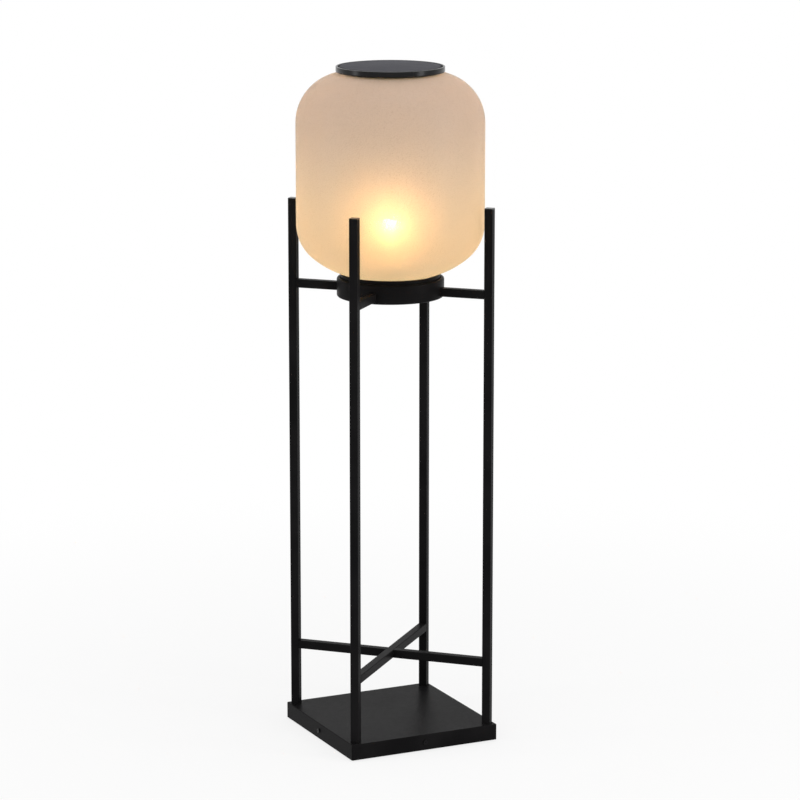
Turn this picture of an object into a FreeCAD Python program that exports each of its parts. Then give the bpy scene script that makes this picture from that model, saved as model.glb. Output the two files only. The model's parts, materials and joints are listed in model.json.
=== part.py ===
import FreeCAD, Part
import math
import os
from types import SimpleNamespace

import Sketcher

# Floor-standing solar lantern lamp. A frosted glass lantern with a round solar lid sits in a ring, which
# four square steel legs carry above a ballasted square base. Millimetres, +Z up, origin on the floor under
# the middle of the base. The front is -Y, and the legs stand on the diagonals.

SIZES = {
    # square tube of the legs, arms and braces
    "tube_side": 12.7,
    "tube_wall": 1.0,
    "tube_corner": 1.2,
    "plug_clearance": 0.05,
    # base
    "leg_gap": 8.15,
    "base_margin": 2.3,
    "foot_gap": 2.0,
    "pan_height": 24.0,
    "pan_sheet": 1.5,
    "pan_corner": 2.0,
    "pan_edge": 1.0,
    "ballast_thickness": 16.0,
    "ballast_clearance": 0.3,
    "foot_radius": 12.0,
    "foot_inset": 17.0,
    "foot_recess_radius": 5.0,
    "foot_recess_depth": 4.0,
    # legs, braces and arms, with heights above the top of the base
    "leg_length": 788.0,
    "cap_plate": 1.5,
    "cap_depth": 8.0,
    "thread_plug_length": 15.0,
    "brace_height": 96.0,
    "arm_height": 659.0,
    "arm_cope": 2.0,
    "weld_gap": 0.05,
    # leg bolts and their washers
    "bolt_radius": 3.0,
    "bolt_length": 25.0,
    "bolt_head_radius": 5.0,
    "bolt_head_height": 6.0,
    "bolt_key_radius": 2.9,
    "bolt_key_depth": 3.0,
    "bolt_clearance": 0.3,
    "washer_radius": 6.0,
    "washer_thickness": 1.6,
    "counterbore_clearance": 1.0,
    "counterbore_depth": 8.0,
    # small screws of the base: the pan's side screws and the screws of the feet
    "screw_radius": 2.0,
    "screw_length": 10.0,
    "screw_head_radius": 3.5,
    "screw_head_height": 1.6,
    "screw_key_radius": 1.4,
    "screw_key_depth": 1.0,
    "side_screw_height": 12.0,
    "thread_clearance": 0.05,
    "hole_clearance": 0.2,
    # holder ring and its seat pad
    "ring_height": 29.0,
    "ring_below_arm": 10.5,
    "ring_wall": 2.0,
    "ring_lip": 4.8,
    "ring_top_round": 3.5,
    "ring_bottom_round": 3.0,
    "ledge_width": 20.0,
    "pad_thickness": 1.5,
    "pad_margin": 1.0,
    "lantern_clearance": 0.8,
    # lantern cup, its deck and bottom cover
    "cup_radius": 74.4,
    "cup_wall": 2.4,
    "cup_edge": 0.8,
    "collar_height": 7.5,
    "chamber_height": 19.5,
    "deck_thickness": 2.0,
    "cover_thickness": 2.0,
    "cover_clearance": 0.3,
    "cover_post_radius": 4.0,
    "cover_screw_gap": 1.2,
    "reflector_thickness": 1.5,
    "reflector_clearance": 1.5,
    # small self-tapping screws of the lantern
    "tapper_radius": 1.5,
    "tapper_length": 8.0,
    "tapper_head_radius": 2.8,
    "tapper_head_height": 1.6,
    "tapper_key_radius": 1.1,
    "tapper_key_depth": 0.9,
    # glass shade and its gasket
    "glass_radius": 140.0,
    "glass_wall": 3.0,
    "wall_height": 149.5,
    "mouth_radius": 63.0,
    "lower_round": 65.0,
    "belly_round": 132.4,
    "neck_length": 4.7,
    "rim_land": 3.5,
    "gasket_base": 1.5,
    "gasket_side": 5.7,
    "gasket_clearance": 0.3,
    # lamp holder and bulb
    "holder_flange_radius": 26.0,
    "holder_flange": 3.0,
    "holder_radius": 19.0,
    "holder_height": 38.0,
    "holder_floor": 14.5,
    "holder_screw_inset": 3.5,
    "cap_radius": 13.2,
    "cap_clearance": 0.8,
    "bulb_neck_radius": 14.0,
    "bulb_body_radius": 20.0,
    "bulb_body_height": 26.0,
    "globe_radius": 22.5,
    "globe_wall": 1.2,
    "led_board_radius": 16.0,
    "led_board_thickness": 1.6,
    "led_ring_radius": 10.5,
    "led_side": 3.0,
    "led_height": 0.8,
    # cable conduit and its grommet
    "conduit_radius": 3.0,
    "conduit_wall": 1.0,
    "conduit_grip": 7.0,
    "grommet_wall": 2.0,
    "grommet_flange": 2.0,
    "grommet_flange_height": 1.4,
    "fit_clearance": 0.05,
    # solar lid
    "lid_overhang": 17.5,
    "lid_height": 8.5,
    "lid_rim": 3.0,
    "lid_top_edge": 0.8,
    "lid_bottom_edge": 1.5,
    "lid_gasket_thickness": 1.5,
    "lid_gasket_margin": 1.0,
    "lid_gasket_width": 9.0,
    "spigot_clearance": 1.5,
    "spigot_wall": 3.0,
    "spigot_depth": 11.5,
    "boss_wall": 3.0,
    "socket_gap": 4.5,
    "panel_clearance": 0.3,
    "backing_thickness": 1.6,
    "cell_thickness": 0.4,
    "cell_gap": 1.2,
    "cell_margin": 3.0,
    "panel_cover_thickness": 2.5,
    # spring clips of the lid
    "clip_width": 10.0,
    "clip_strip": 0.8,
    "clip_bulge": 3.5,
    "clip_rise": 2.5,
    "clip_tail": 1.0,
    "clip_rim_gap": 1.0,
    # battery
    "cell_body_radius": 7.1,
    "cell_body_length": 49.0,
    "cell_nub_radius": 2.6,
    "cell_nub_length": 1.0,
    "cell_pitch": 15.0,
    "cell_play": 0.5,
    "tray_wall": 2.0,
    "tray_floor": 1.2,
    "tray_height": 13.0,
    "tray_offset": 27.0,
    # controller board
    "board_length": 56.0,
    "board_width": 34.0,
    "board_thickness": 1.6,
    "board_offset": 36.0,
    "board_standoff": 4.0,
    "board_post_radius": 3.0,
    "board_screw_inset": 4.0,
    "block_length": 30.0,
    "block_width": 10.0,
    "block_height": 7.0,
    "chip_length": 10.0,
    "chip_width": 7.0,
    "chip_height": 2.2,
    "chip_shift": 13.0,
    "chip_inset": 10.0,
    "capacitor_shift": 19.5,
    "capacitor_radius": 3.5,
    "capacitor_height": 7.0,
    # leads
    "lead_radius": 1.2,
    "lead_reach": 10.0,
    "lamp_lead_offset": 12.0,
    "lead_clearance": 0.3,
    # push switch under the lantern
    "switch_offset": 8.5,
    "switch_barrel_radius": 6.0,
    "switch_barrel_height": 11.5,
    "switch_bezel_radius": 8.0,
    "switch_bezel_height": 1.5,
    "switch_bore_depth": 8.0,
    "switch_nut_radius": 9.6,
    "switch_nut_height": 3.0,
    "button_radius": 5.0,
    "button_length": 6.4,
    "button_proud": 1.8,
    "button_edge": 1.2,
    "button_clearance": 0.08,
}

CELL_STRIPS = 8
LED_COUNT = 8
BATTERY_CELLS = 3
CLIP_ANGLES = (30, 150, 270)
COVER_SCREW_ANGLES = (30, 150, 210, 330)
LOWER_SWEEP = math.radians(50)
LEAD_BEND_SHARE = 0.45
SMALL = 1e-6
ROOT_TWO = math.sqrt(2)
CORNERS = {
    "front_left": (-1, -1),
    "front_right": (1, -1),
    "rear_left": (-1, 1),
    "rear_right": (1, 1),
}
UPRIGHT = FreeCAD.Rotation()
POINTING = {
    (0, 0, 1): UPRIGHT,
    (0, 0, -1): FreeCAD.Rotation(FreeCAD.Vector(1, 0, 0), 180),
    (1, 0, 0): FreeCAD.Rotation(FreeCAD.Vector(0, 1, 0), 90),
    (-1, 0, 0): FreeCAD.Rotation(FreeCAD.Vector(0, 1, 0), -90),
    (0, 1, 0): FreeCAD.Rotation(FreeCAD.Vector(1, 0, 0), -90),
    (0, -1, 0): FreeCAD.Rotation(FreeCAD.Vector(1, 0, 0), 90),
}
UP = (0, 0, 1)
DOWN = (0, 0, -1)

doc = FreeCAD.newDocument("SolarPathLight")
sheet = doc.addObject("Spreadsheet::Sheet", "Sizes")
for row, (alias, millimetres) in enumerate(SIZES.items(), start=1):
    sheet.set(f"A{row}", alias)
    sheet.set(f"B{row}", str(millimetres))
    sheet.setAlias(f"B{row}", alias)
doc.recompute()


# A length that carries its number together with the sheet formula that gives it.
class Length:
    def __init__(self, number, formula):
        self.number = float(number)
        self.formula = formula

    def __add__(self, other):
        other = as_length(other)
        return Length(self.number + other.number, f"({self.formula} + {other.formula})")

    def __sub__(self, other):
        other = as_length(other)
        return Length(self.number - other.number, f"({self.formula} - {other.formula})")

    def __mul__(self, other):
        other = as_length(other)
        return Length(self.number * other.number, f"({self.formula} * {other.formula})")

    def __truediv__(self, other):
        other = as_length(other)
        return Length(self.number / other.number, f"({self.formula} / {other.formula})")

    def __radd__(self, other):
        return as_length(other) + self

    def __rsub__(self, other):
        return as_length(other) - self

    def __rmul__(self, other):
        return as_length(other) * self

    def __neg__(self):
        return as_length(0) - self


def as_length(value):
    if isinstance(value, Length):
        return value
    return Length(value, f"({float(value)!r})")


def square_root(value):
    return Length(math.sqrt(value.number), f"sqrt({value.formula})")


d = SimpleNamespace(**{alias: Length(sheet.get(alias), f"Sizes.{alias}") for alias in SIZES})


# Document helpers: binding, placing, sketching and the common solids.
def bind(item, **lengths):
    for name, value in lengths.items():
        value = as_length(value)
        setattr(item, name, value.number)
        item.setExpression(name, value.formula)


def vector(point):
    numbers = [as_length(value).number for value in point]
    return FreeCAD.Vector(*numbers, *[0.0] * (3 - len(numbers)))


def place(item, at, rotation=UPRIGHT):
    item.Placement = FreeCAD.Placement(vector(at), rotation)
    for axis, value in zip("xyz", at):
        item.setExpression(f"Placement.Base.{axis}", as_length(value).formula)
    return item


def shifted(at, direction, distance):
    return tuple(as_length(value) + part * distance for value, part in zip(at, direction))


def reversed_direction(direction):
    return tuple(-part for part in direction)


def around(radius, angle):
    turn = math.radians(angle)
    return radius * math.cos(turn), radius * math.sin(turn)


def add(kind, name):
    item = doc.addObject(kind, name)
    item.Label = name
    return item


def new_body(name):
    return add("PartDesign::Body", name)


def new_sketch(body, role, level=None):
    plane = next(feature for feature in body.Origin.OriginFeatures if feature.Role == role)
    sketch = body.newObject("Sketcher::SketchObject", f"{body.Name}_sketch")
    sketch.AttachmentSupport = [(plane, "")]
    sketch.MapMode = "FlatFace"
    if level is not None:
        sketch.AttachmentOffset = FreeCAD.Placement(vector((0, 0, level)), UPRIGHT)
        sketch.setExpression("AttachmentOffset.Base.z", as_length(level).formula)
    return sketch


def dimension(sketch, constraint, value):
    index = sketch.addConstraint(constraint)
    sketch.setExpression(f"Constraints[{index}]", value.formula)


def pin(sketch, geometry, spot, point):
    x, y = (as_length(value) for value in point)
    if abs(x.number) < SMALL:
        sketch.addConstraint(Sketcher.Constraint("PointOnObject", geometry, spot, -2))
    else:
        dimension(sketch, Sketcher.Constraint("DistanceX", -1, 1, geometry, spot, x.number), x)
    if abs(y.number) < SMALL:
        sketch.addConstraint(Sketcher.Constraint("PointOnObject", geometry, spot, -1))
    else:
        dimension(sketch, Sketcher.Constraint("DistanceY", -1, 1, geometry, spot, y.number), y)


# A closed chain of straight lines, with an arc (middle, radius) on each numbered edge that has one.
def draw_chain(sketch, nodes, arcs):
    first = sketch.GeometryCount
    count = len(nodes)
    spots = []
    for index in range(count):
        start = vector(nodes[index])
        stop = vector(nodes[(index + 1) % count])
        if index not in arcs:
            sketch.addGeometry(Part.LineSegment(start, stop))
            spots.append((1, 2))
            continue
        middle = vector(arcs[index][0])
        angles = [math.atan2(point.y - middle.y, point.x - middle.x) for point in (start, stop)]
        forward = (angles[1] - angles[0]) % math.tau < math.pi
        circle = Part.Circle(middle, FreeCAD.Vector(0, 0, 1), arcs[index][1].number)
        sketch.addGeometry(Part.ArcOfCircle(circle, *(angles if forward else angles[::-1])))
        spots.append((1, 2) if forward else (2, 1))
    for index in range(count):
        after = (index + 1) % count
        ends = (first + index, spots[index][1], first + after, spots[after][0])
        sketch.addConstraint(Sketcher.Constraint("Coincident", *ends))
        pin(sketch, first + index, spots[index][0], nodes[index])
    for index, (_, radius) in arcs.items():
        dimension(sketch, Sketcher.Constraint("Radius", first + index, radius.number), radius)


# A closed outline whose square corners may be rounded: each point is (x, y) or (x, y, radius).
def draw_outline(sketch, points):
    nodes = []
    arcs = {}
    for index, point in enumerate(points):
        corner = tuple(as_length(value) for value in point[:2])
        if len(point) == 2:
            nodes.append(corner)
            continue
        before = unit(vector(point[:2]) - vector(points[index - 1][:2]))
        after = unit(vector(points[(index + 1) % len(points)][:2]) - vector(point[:2]))
        radius = point[2]
        entry = shifted(corner, before, -radius)
        middle = shifted(entry, after, radius)
        arcs[len(nodes)] = (middle, radius)
        nodes.append(entry)
        nodes.append(shifted(corner, after, radius))
    draw_chain(sketch, nodes, arcs)


def unit(step):
    return round(step.x / step.Length), round(step.y / step.Length)


def draw_circle(sketch, radius, at=(0, 0)):
    index = sketch.addGeometry(Part.Circle(vector(at), FreeCAD.Vector(0, 0, 1), radius.number))
    dimension(sketch, Sketcher.Constraint("Radius", index, radius.number), radius)
    pin(sketch, index, 3, at)


def draw_square(sketch, half, corner=None):
    rounding = () if corner is None else (corner,)
    signs = ((-1, -1), (1, -1), (1, 1), (-1, 1))
    draw_outline(sketch, [(x * half, y * half, *rounding) for x, y in signs])


def pad(body, sketch, length):
    feature = body.newObject("PartDesign::Pad", f"{body.Name}_pad")
    feature.Profile = sketch
    bind(feature, Length=length)
    return feature


# A cut upwards from the sketch, by a depth or right through.
def pocket(body, sketch, depth=None):
    feature = body.newObject("PartDesign::Pocket", f"{body.Name}_pocket")
    feature.Profile = sketch
    feature.Reversed = True
    if depth is None:
        feature.Type = "ThroughAll"
    else:
        bind(feature, Length=depth)
    return feature


def turn(body, sketch):
    feature = body.newObject("PartDesign::Revolution", f"{body.Name}_turn")
    feature.Profile = sketch
    feature.ReferenceAxis = (sketch, ["V_Axis"])
    feature.Angle = 360
    return feature


# A piece turned about its own vertical axis, from an outline of (radius, height) points.
def turned(name, points, at):
    body = new_body(name)
    sketch = new_sketch(body, "XZ_Plane")
    draw_outline(sketch, points)
    turn(body, sketch)
    return place(body, at)


def turned_ring(name, inner, outer, height, at):
    return turned(name, [(inner, 0), (outer, 0), (outer, height), (inner, height)], at)


def cylinder(name, radius, height, at, direction=UP):
    item = add("Part::Cylinder", name)
    bind(item, Radius=radius, Height=height)
    return place(item, at, POINTING[direction])


# A box with its bottom face's middle at the given point.
def box(name, length, width, height, at):
    item = add("Part::Box", name)
    bind(item, Length=length, Width=width, Height=height)
    return place(item, (at[0] - length / 2, at[1] - width / 2, at[2]))


def hexagon(name, radius, height, at, direction=UP):
    item = add("Part::Prism", name)
    item.Polygon = 6
    bind(item, Circumradius=radius, Height=height)
    return place(item, at, POINTING[direction])


def cut(name, base, tools):
    for number, tool in enumerate(tools, start=1):
        item = add("Part::Cut", f"{name}_cut_{number}")
        item.Base = base
        item.Tool = tool
        base = item
    base.Label = name
    return base


def fused(name, pieces):
    item = add("Part::MultiFuse", name)
    item.Shapes = pieces
    return item


def group(name, members):
    item = add("Part::Compound", name)
    item.Links = members
    return item


# A socket-head screw: the point is under its head, and it points along the direction.
def screw(name, kind, at, direction):
    back = reversed_direction(direction)
    shank = cylinder(f"{name}_shank", kind.radius, kind.length, at, direction)
    head = cylinder(f"{name}_head", kind.head_radius, kind.head_height, at, back)
    key_end = shifted(at, back, kind.head_height)
    key = hexagon(f"{name}_key", kind.key_radius, kind.key_depth, key_end, direction)
    return cut(name, fused(f"{name}_blank", [shank, head]), [key])


def screw_kind(prefix):
    names = ("radius", "length", "head_radius", "head_height", "key_radius", "key_depth")
    return SimpleNamespace(**{name: getattr(d, f"{prefix}_{name}") for name in names})


def cut_to(kind, length):
    shorter = SimpleNamespace(**vars(kind))
    shorter.length = length
    return shorter


nodes = []


def keep(item):
    nodes.append(item)
    return item


# Places that several pieces share, stacked from the floor up.
bolt = screw_kind("bolt")
small_screw = screw_kind("screw")
tapper = screw_kind("tapper")

half_tube = d.tube_side / 2
leg_reach = d.glass_radius + d.leg_gap + half_tube
leg_offset = leg_reach / ROOT_TWO
base_side = 2 * (leg_offset + d.tube_side / ROOT_TWO + d.base_margin)
pan_top = d.foot_gap + d.pan_height
ballast_top = pan_top - d.pan_sheet
ballast_bottom = ballast_top - d.ballast_thickness
arm_level = pan_top + d.arm_height
brace_level = pan_top + d.brace_height

ring_lip_radius = d.cup_radius + d.lantern_clearance
ring_radius = ring_lip_radius + d.ring_lip
ring_inner = ring_radius - d.ring_wall
ledge_radius = ring_inner - d.ledge_width
ring_bottom = arm_level - d.ring_below_arm
ledge_top = ring_bottom + d.ring_wall

cup_inner = d.cup_radius - d.cup_wall
cup_bottom = ledge_top + d.pad_thickness
cover_top = cup_bottom + d.cover_thickness
deck_bottom = cover_top + d.chamber_height
deck_top = deck_bottom + d.deck_thickness
cover_post_ring = ledge_radius - tapper.head_radius - d.cover_screw_gap

neck_radius = cup_inner - d.gasket_side - d.gasket_clearance
neck_bottom = deck_top + d.gasket_base

# Heights on the glass, from the end of its neck: belly, lower round, straight wall, upper round.
joint_radius = d.glass_radius - d.lower_round * (1 - math.cos(LOWER_SWEEP))
belly_middle = joint_radius - d.belly_round * math.cos(LOWER_SWEEP)
belly_run = neck_radius - belly_middle
belly_rise = square_root(d.belly_round * d.belly_round - belly_run * belly_run)
joint_height = d.neck_length + belly_rise - d.belly_round * math.sin(LOWER_SWEEP)
wall_bottom = joint_height + d.lower_round * math.sin(LOWER_SWEEP)
wall_top = wall_bottom + d.wall_height
upper_round = d.glass_radius - d.mouth_radius - d.rim_land
glass_height = wall_top + upper_round

glass_top = neck_bottom + glass_height
lid_bottom = glass_top + d.lid_gasket_thickness
lid_radius = d.mouth_radius + d.lid_overhang
lid_top = lid_bottom + d.lid_height
recess_depth = d.backing_thickness + d.cell_thickness + d.panel_cover_thickness
recess_bottom = lid_top - recess_depth
spigot_radius = d.mouth_radius - d.spigot_clearance
spigot_inner = spigot_radius - d.spigot_wall
spigot_bottom = lid_bottom - d.spigot_depth
panel_radius = lid_radius - d.lid_rim - d.panel_clearance

socket_radius = d.conduit_radius + d.boss_wall
conduit_offset = spigot_inner - socket_radius - d.socket_gap
conduit_at = (0, conduit_offset)
lead_hole_radius = d.lead_radius + d.lead_clearance
board_bottom = cover_top + d.board_standoff
board_top = board_bottom + d.board_thickness
lead_level = board_top + d.block_height / 2
board_post_x = d.board_length / 2 - d.board_screw_inset
board_post_y = d.board_width / 2 - d.board_screw_inset
board_posts = [(x * board_post_x, d.board_offset + y * board_post_y) for x, y in CORNERS.values()]
cover_screw_spots = [around(cover_post_ring, angle) for angle in COVER_SCREW_ANGLES]
holder_screw_ring = d.holder_flange_radius - d.holder_screw_inset
holder_screw_spots = [(-holder_screw_ring, 0), (holder_screw_ring, 0)]
switch_at = (0, d.switch_offset)
tapped_radius = tapper.radius + d.thread_clearance
side_screw_level = d.foot_gap + d.side_screw_height


# Base: folded pan, ballast, feet and their screws.
def leg_spots(reach=leg_offset):
    return [(x * reach, y * reach) for x, y in CORNERS.values()]


def make_pan():
    body = new_body("base_pan")
    outer = new_sketch(body, "XY_Plane")
    draw_square(outer, base_side / 2, d.pan_corner)
    block = pad(body, outer, d.pan_height)
    doc.recompute()
    rim = [
        f"Edge{number}"
        for number, edge in enumerate(block.Shape.Edges, start=1)
        if abs(edge.BoundBox.ZMin - d.pan_height.number) < SMALL
    ]
    rounding = body.newObject("PartDesign::Fillet", "base_pan_edge")
    rounding.Base = (block, rim)
    bind(rounding, Radius=d.pan_edge)
    inner = new_sketch(body, "XY_Plane")
    draw_square(inner, base_side / 2 - d.pan_sheet, d.pan_edge)
    pocket(body, inner, d.pan_height - d.pan_sheet)
    drilled = new_sketch(body, "XY_Plane")
    for spot in leg_spots():
        draw_circle(drilled, bolt.radius + d.bolt_clearance, spot)
    pocket(body, drilled)
    for role in ("XZ_Plane", "YZ_Plane"):
        side = new_sketch(body, role)
        draw_circle(side, small_screw.radius + d.hole_clearance, (0, d.side_screw_height))
        through = pocket(body, side)
        through.Midplane = True
    return place(body, (0, 0, d.foot_gap))


def make_ballast():
    side = base_side - 2 * (d.pan_sheet + d.ballast_clearance)
    plate = box("ballast_blank", side, side, d.ballast_thickness, (0, 0, ballast_bottom))
    tools = []
    for number, (x, y) in enumerate(leg_spots()):
        spot = (x, y, ballast_bottom)
        hole_radius = bolt.radius + d.bolt_clearance
        tools.append(cylinder(f"ballast_bolt_hole_{number}", hole_radius, d.ballast_thickness, spot))
        bore_radius = d.washer_radius + d.counterbore_clearance
        tools.append(cylinder(f"ballast_counterbore_{number}", bore_radius, d.counterbore_depth, spot))
    thread_radius = small_screw.radius + d.thread_clearance
    for number, (x, y) in enumerate(leg_spots(leg_offset - d.foot_inset)):
        spot = (x, y, ballast_bottom)
        tools.append(cylinder(f"ballast_foot_hole_{number}", thread_radius, small_screw.length, spot))
    for number, (at, direction) in enumerate(side_screw_seats()):
        name = f"ballast_side_hole_{number}"
        tools.append(cylinder(name, thread_radius, small_screw.length, at, direction))
    return cut("ballast_plate", plate, tools)


def side_screw_seats():
    reach = base_side / 2
    directions = ((-1, 0, 0), (1, 0, 0), (0, -1, 0), (0, 1, 0))
    return [(shifted((0, 0, side_screw_level), way, -reach), way) for way in directions]


def make_feet():
    feet = []
    screws = []
    seat = d.foot_recess_depth
    bore = small_screw.radius + d.hole_clearance
    for number, (x, y) in enumerate(leg_spots(leg_offset - d.foot_inset)):
        section = [
            (d.foot_recess_radius, 0),
            (d.foot_radius, 0),
            (d.foot_radius, ballast_bottom),
            (bore, ballast_bottom),
            (bore, seat),
            (d.foot_recess_radius, seat),
        ]
        feet.append(turned(f"rubber_foot_{number}", section, (x, y, 0)))
        screws.append(screw(f"foot_screw_{number}", small_screw, (x, y, seat), UP))
    keep(group("rubber_feet", feet))
    keep(group("foot_screws", screws))


def make_base():
    keep(make_pan())
    keep(make_ballast())
    side_screws = [
        screw(f"side_screw_{number}", small_screw, at, direction)
        for number, (at, direction) in enumerate(side_screw_seats())
    ]
    keep(group("base_side_screws", side_screws))
    make_feet()


# Legs, braces and arms, all from the same square tube.
def diagonal(corner):
    return math.degrees(math.atan2(corner[1], corner[0]))


def lying(angle):
    flat = FreeCAD.Rotation(FreeCAD.Vector(0, 1, 0), 90)
    return FreeCAD.Rotation(FreeCAD.Vector(0, 0, 1), angle) * flat


def on_diagonal(corner, reach, level):
    return tuple(part * reach / ROOT_TWO for part in corner) + (level,)


def square_bar(name, half, length, at, rotation, corner=None, hollow=None, bore=None):
    body = new_body(name)
    sketch = new_sketch(body, "XY_Plane")
    draw_square(sketch, half, corner)
    if hollow is not None:
        draw_square(sketch, hollow)
    if bore is not None:
        draw_circle(sketch, bore)
    pad(body, sketch, length)
    return place(body, at, rotation)


def tube(name, length, at, rotation):
    return square_bar(name, half_tube, length, at, rotation, d.tube_corner, half_tube - d.tube_wall)


def make_legs():
    caps = []
    plugs = []
    bolts = []
    washers = []
    tube_length = d.leg_length - d.cap_plate
    plug_half = half_tube - d.tube_wall - d.plug_clearance
    washer_level = ballast_bottom + d.counterbore_depth - d.washer_thickness
    for name, corner in CORNERS.items():
        turned_45 = FreeCAD.Rotation(FreeCAD.Vector(0, 0, 1), diagonal(corner))
        x, y, _ = on_diagonal(corner, leg_reach, 0)
        keep(tube(f"leg_{name}", tube_length, (x, y, pan_top), turned_45))
        cap_level = pan_top + tube_length
        top_at = (x, y, cap_level)
        top = square_bar(f"cap_top_{name}", half_tube, d.cap_plate, top_at, turned_45, d.tube_corner)
        insert_at = (x, y, cap_level - d.cap_depth)
        insert = square_bar(f"cap_insert_{name}", plug_half, d.cap_depth, insert_at, turned_45)
        caps.append(fused(f"cap_{name}", [top, insert]))
        thread_bore = bolt.radius + d.thread_clearance
        plug = square_bar(
            f"plug_{name}", plug_half, d.thread_plug_length, (x, y, pan_top), turned_45, bore=thread_bore
        )
        plugs.append(plug)
        washer_at = (x, y, washer_level)
        bolts.append(screw(f"leg_bolt_{name}", bolt, washer_at, UP))
        washer_bore = bolt.radius + d.hole_clearance
        washer = turned_ring(f"washer_{name}", washer_bore, d.washer_radius, d.washer_thickness, washer_at)
        washers.append(washer)
    keep(group("leg_top_caps", caps))
    keep(group("leg_thread_plugs", plugs))
    keep(group("leg_bolts", bolts))
    keep(group("leg_bolt_washers", washers))


def make_braces():
    inner_reach = leg_reach - half_tube
    corner = CORNERS["front_left"]
    at = on_diagonal(corner, inner_reach, brace_level)
    keep(tube("brace_through_bar", 2 * inner_reach, at, lying(diagonal(CORNERS["rear_right"]))))
    for name in ("front_right", "rear_left"):
        corner = CORNERS[name]
        at = on_diagonal(corner, half_tube, brace_level)
        keep(tube(f"brace_half_bar_{name}", inner_reach - half_tube, at, lying(diagonal(corner))))


def make_arms():
    inner_reach = ring_radius - d.arm_cope
    length = leg_reach - half_tube - inner_reach
    for name, corner in CORNERS.items():
        at = on_diagonal(corner, inner_reach, arm_level)
        bar = tube(f"arm_{name}_tube", length, at, lying(diagonal(corner)))
        cope_at = (0, 0, arm_level - d.tube_side)
        cope = cylinder(f"arm_{name}_cope", ring_radius + d.weld_gap, 2 * d.tube_side, cope_at)
        keep(cut(f"arm_{name}", bar, [cope]))


def make_holder():
    upper = d.ring_height - d.ring_wall
    section = [
        (ledge_radius, 0),
        (ring_radius, 0, d.ring_bottom_round),
        (ring_radius, d.ring_height, d.ring_top_round),
        (ring_lip_radius, d.ring_height),
        (ring_lip_radius, upper),
        (ring_inner, upper),
        (ring_inner, d.ring_wall),
        (ledge_radius, d.ring_wall),
    ]
    keep(turned("holder_ring", section, (0, 0, ring_bottom)))
    inner = ledge_radius + d.pad_margin
    outer = ring_inner - d.pad_margin
    keep(turned_ring("seat_pad", inner, outer, d.pad_thickness, (0, 0, ledge_top)))


# Lantern cup: an outer wall with a deck across it, and posts under the deck for the bottom cover.
def make_cup():
    deck_low = deck_bottom - cup_bottom
    deck_high = deck_top - cup_bottom
    rim = deck_high + d.collar_height
    body = new_body("lantern_cup")
    section = new_sketch(body, "XZ_Plane")
    outline = [
        (cup_inner, 0),
        (d.cup_radius, 0, d.cup_edge),
        (d.cup_radius, rim, d.cup_edge),
        (cup_inner, rim),
        (cup_inner, deck_high),
        (0, deck_high),
        (0, deck_low),
        (cup_inner, deck_low),
    ]
    draw_outline(section, outline)
    turn(body, section)
    posts = new_sketch(body, "XY_Plane", d.cover_thickness)
    for spot in cover_screw_spots:
        draw_circle(posts, d.cover_post_radius, spot)
    pad(body, posts, d.chamber_height)
    pilots = new_sketch(body, "XY_Plane", d.cover_thickness)
    for spot in cover_screw_spots:
        draw_circle(pilots, tapped_radius, spot)
    pocket(body, pilots, tapper.length)
    holes = new_sketch(body, "XY_Plane")
    draw_circle(holes, d.conduit_radius + d.grommet_wall, conduit_at)
    draw_circle(holes, lead_hole_radius, (d.lamp_lead_offset, 0))
    for spot in holder_screw_spots:
        draw_circle(holes, tapped_radius, spot)
    pocket(body, holes)
    keep(place(body, (0, 0, cup_bottom)))


def make_cover():
    body = new_body("bottom_cover")
    disc = new_sketch(body, "XY_Plane")
    draw_circle(disc, cup_inner - d.cover_clearance)
    pad(body, disc, d.cover_thickness)
    posts = new_sketch(body, "XY_Plane")
    for spot in board_posts:
        draw_circle(posts, d.board_post_radius, spot)
    pad(body, posts, d.cover_thickness + d.board_standoff)
    holes = new_sketch(body, "XY_Plane")
    draw_circle(holes, d.switch_barrel_radius + d.fit_clearance, switch_at)
    for spot in cover_screw_spots:
        draw_circle(holes, tapper.radius + d.hole_clearance, spot)
    for spot in board_posts:
        draw_circle(holes, tapped_radius, spot)
    pocket(body, holes)
    keep(place(body, (0, 0, cup_bottom)))
    screws = [
        screw(f"cover_screw_{number}", tapper, (x, y, cup_bottom), UP)
        for number, (x, y) in enumerate(cover_screw_spots)
    ]
    keep(group("cover_screws", screws))


def make_reflector():
    radius = neck_radius - d.glass_wall - d.reflector_clearance
    bore = d.holder_flange_radius + d.reflector_clearance
    at = (0, 0, deck_top)
    disc = turned_ring("reflector_blank", bore, radius, d.reflector_thickness, at)
    grommet_room = d.conduit_radius + d.grommet_wall + d.grommet_flange + d.gasket_clearance
    hole = cylinder("reflector_hole", grommet_room, d.reflector_thickness, (*conduit_at, deck_top))
    keep(cut("reflector_disc", disc, [hole]))


# Glass shade: one wall of even thickness that follows the neck, belly, straight wall and upper round.
def glass_side(inset):
    belly = d.belly_round - inset
    lower = d.lower_round - inset
    upper = upper_round - inset
    neck = neck_radius - inset
    belly_level = joint_height + d.belly_round * math.sin(LOWER_SWEEP)
    run = neck - belly_middle
    neck_top = belly_level - square_root(belly * belly - run * run)
    lower_middle = (d.glass_radius - d.lower_round, wall_bottom)
    joint = (lower_middle[0] + lower * math.cos(LOWER_SWEEP), wall_bottom - lower * math.sin(LOWER_SWEEP))
    upper_middle = (d.glass_radius - upper_round, wall_top)
    nodes_up = [
        (neck, as_length(0)),
        (neck, neck_top),
        joint,
        (d.glass_radius - inset, wall_bottom),
        (d.glass_radius - inset, wall_top),
        (upper_middle[0], wall_top + upper),
        (d.mouth_radius, wall_top + upper),
    ]
    arcs_up = {
        1: ((belly_middle, belly_level), belly),
        2: (lower_middle, lower),
        4: (upper_middle, upper),
    }
    return nodes_up, arcs_up


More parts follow.
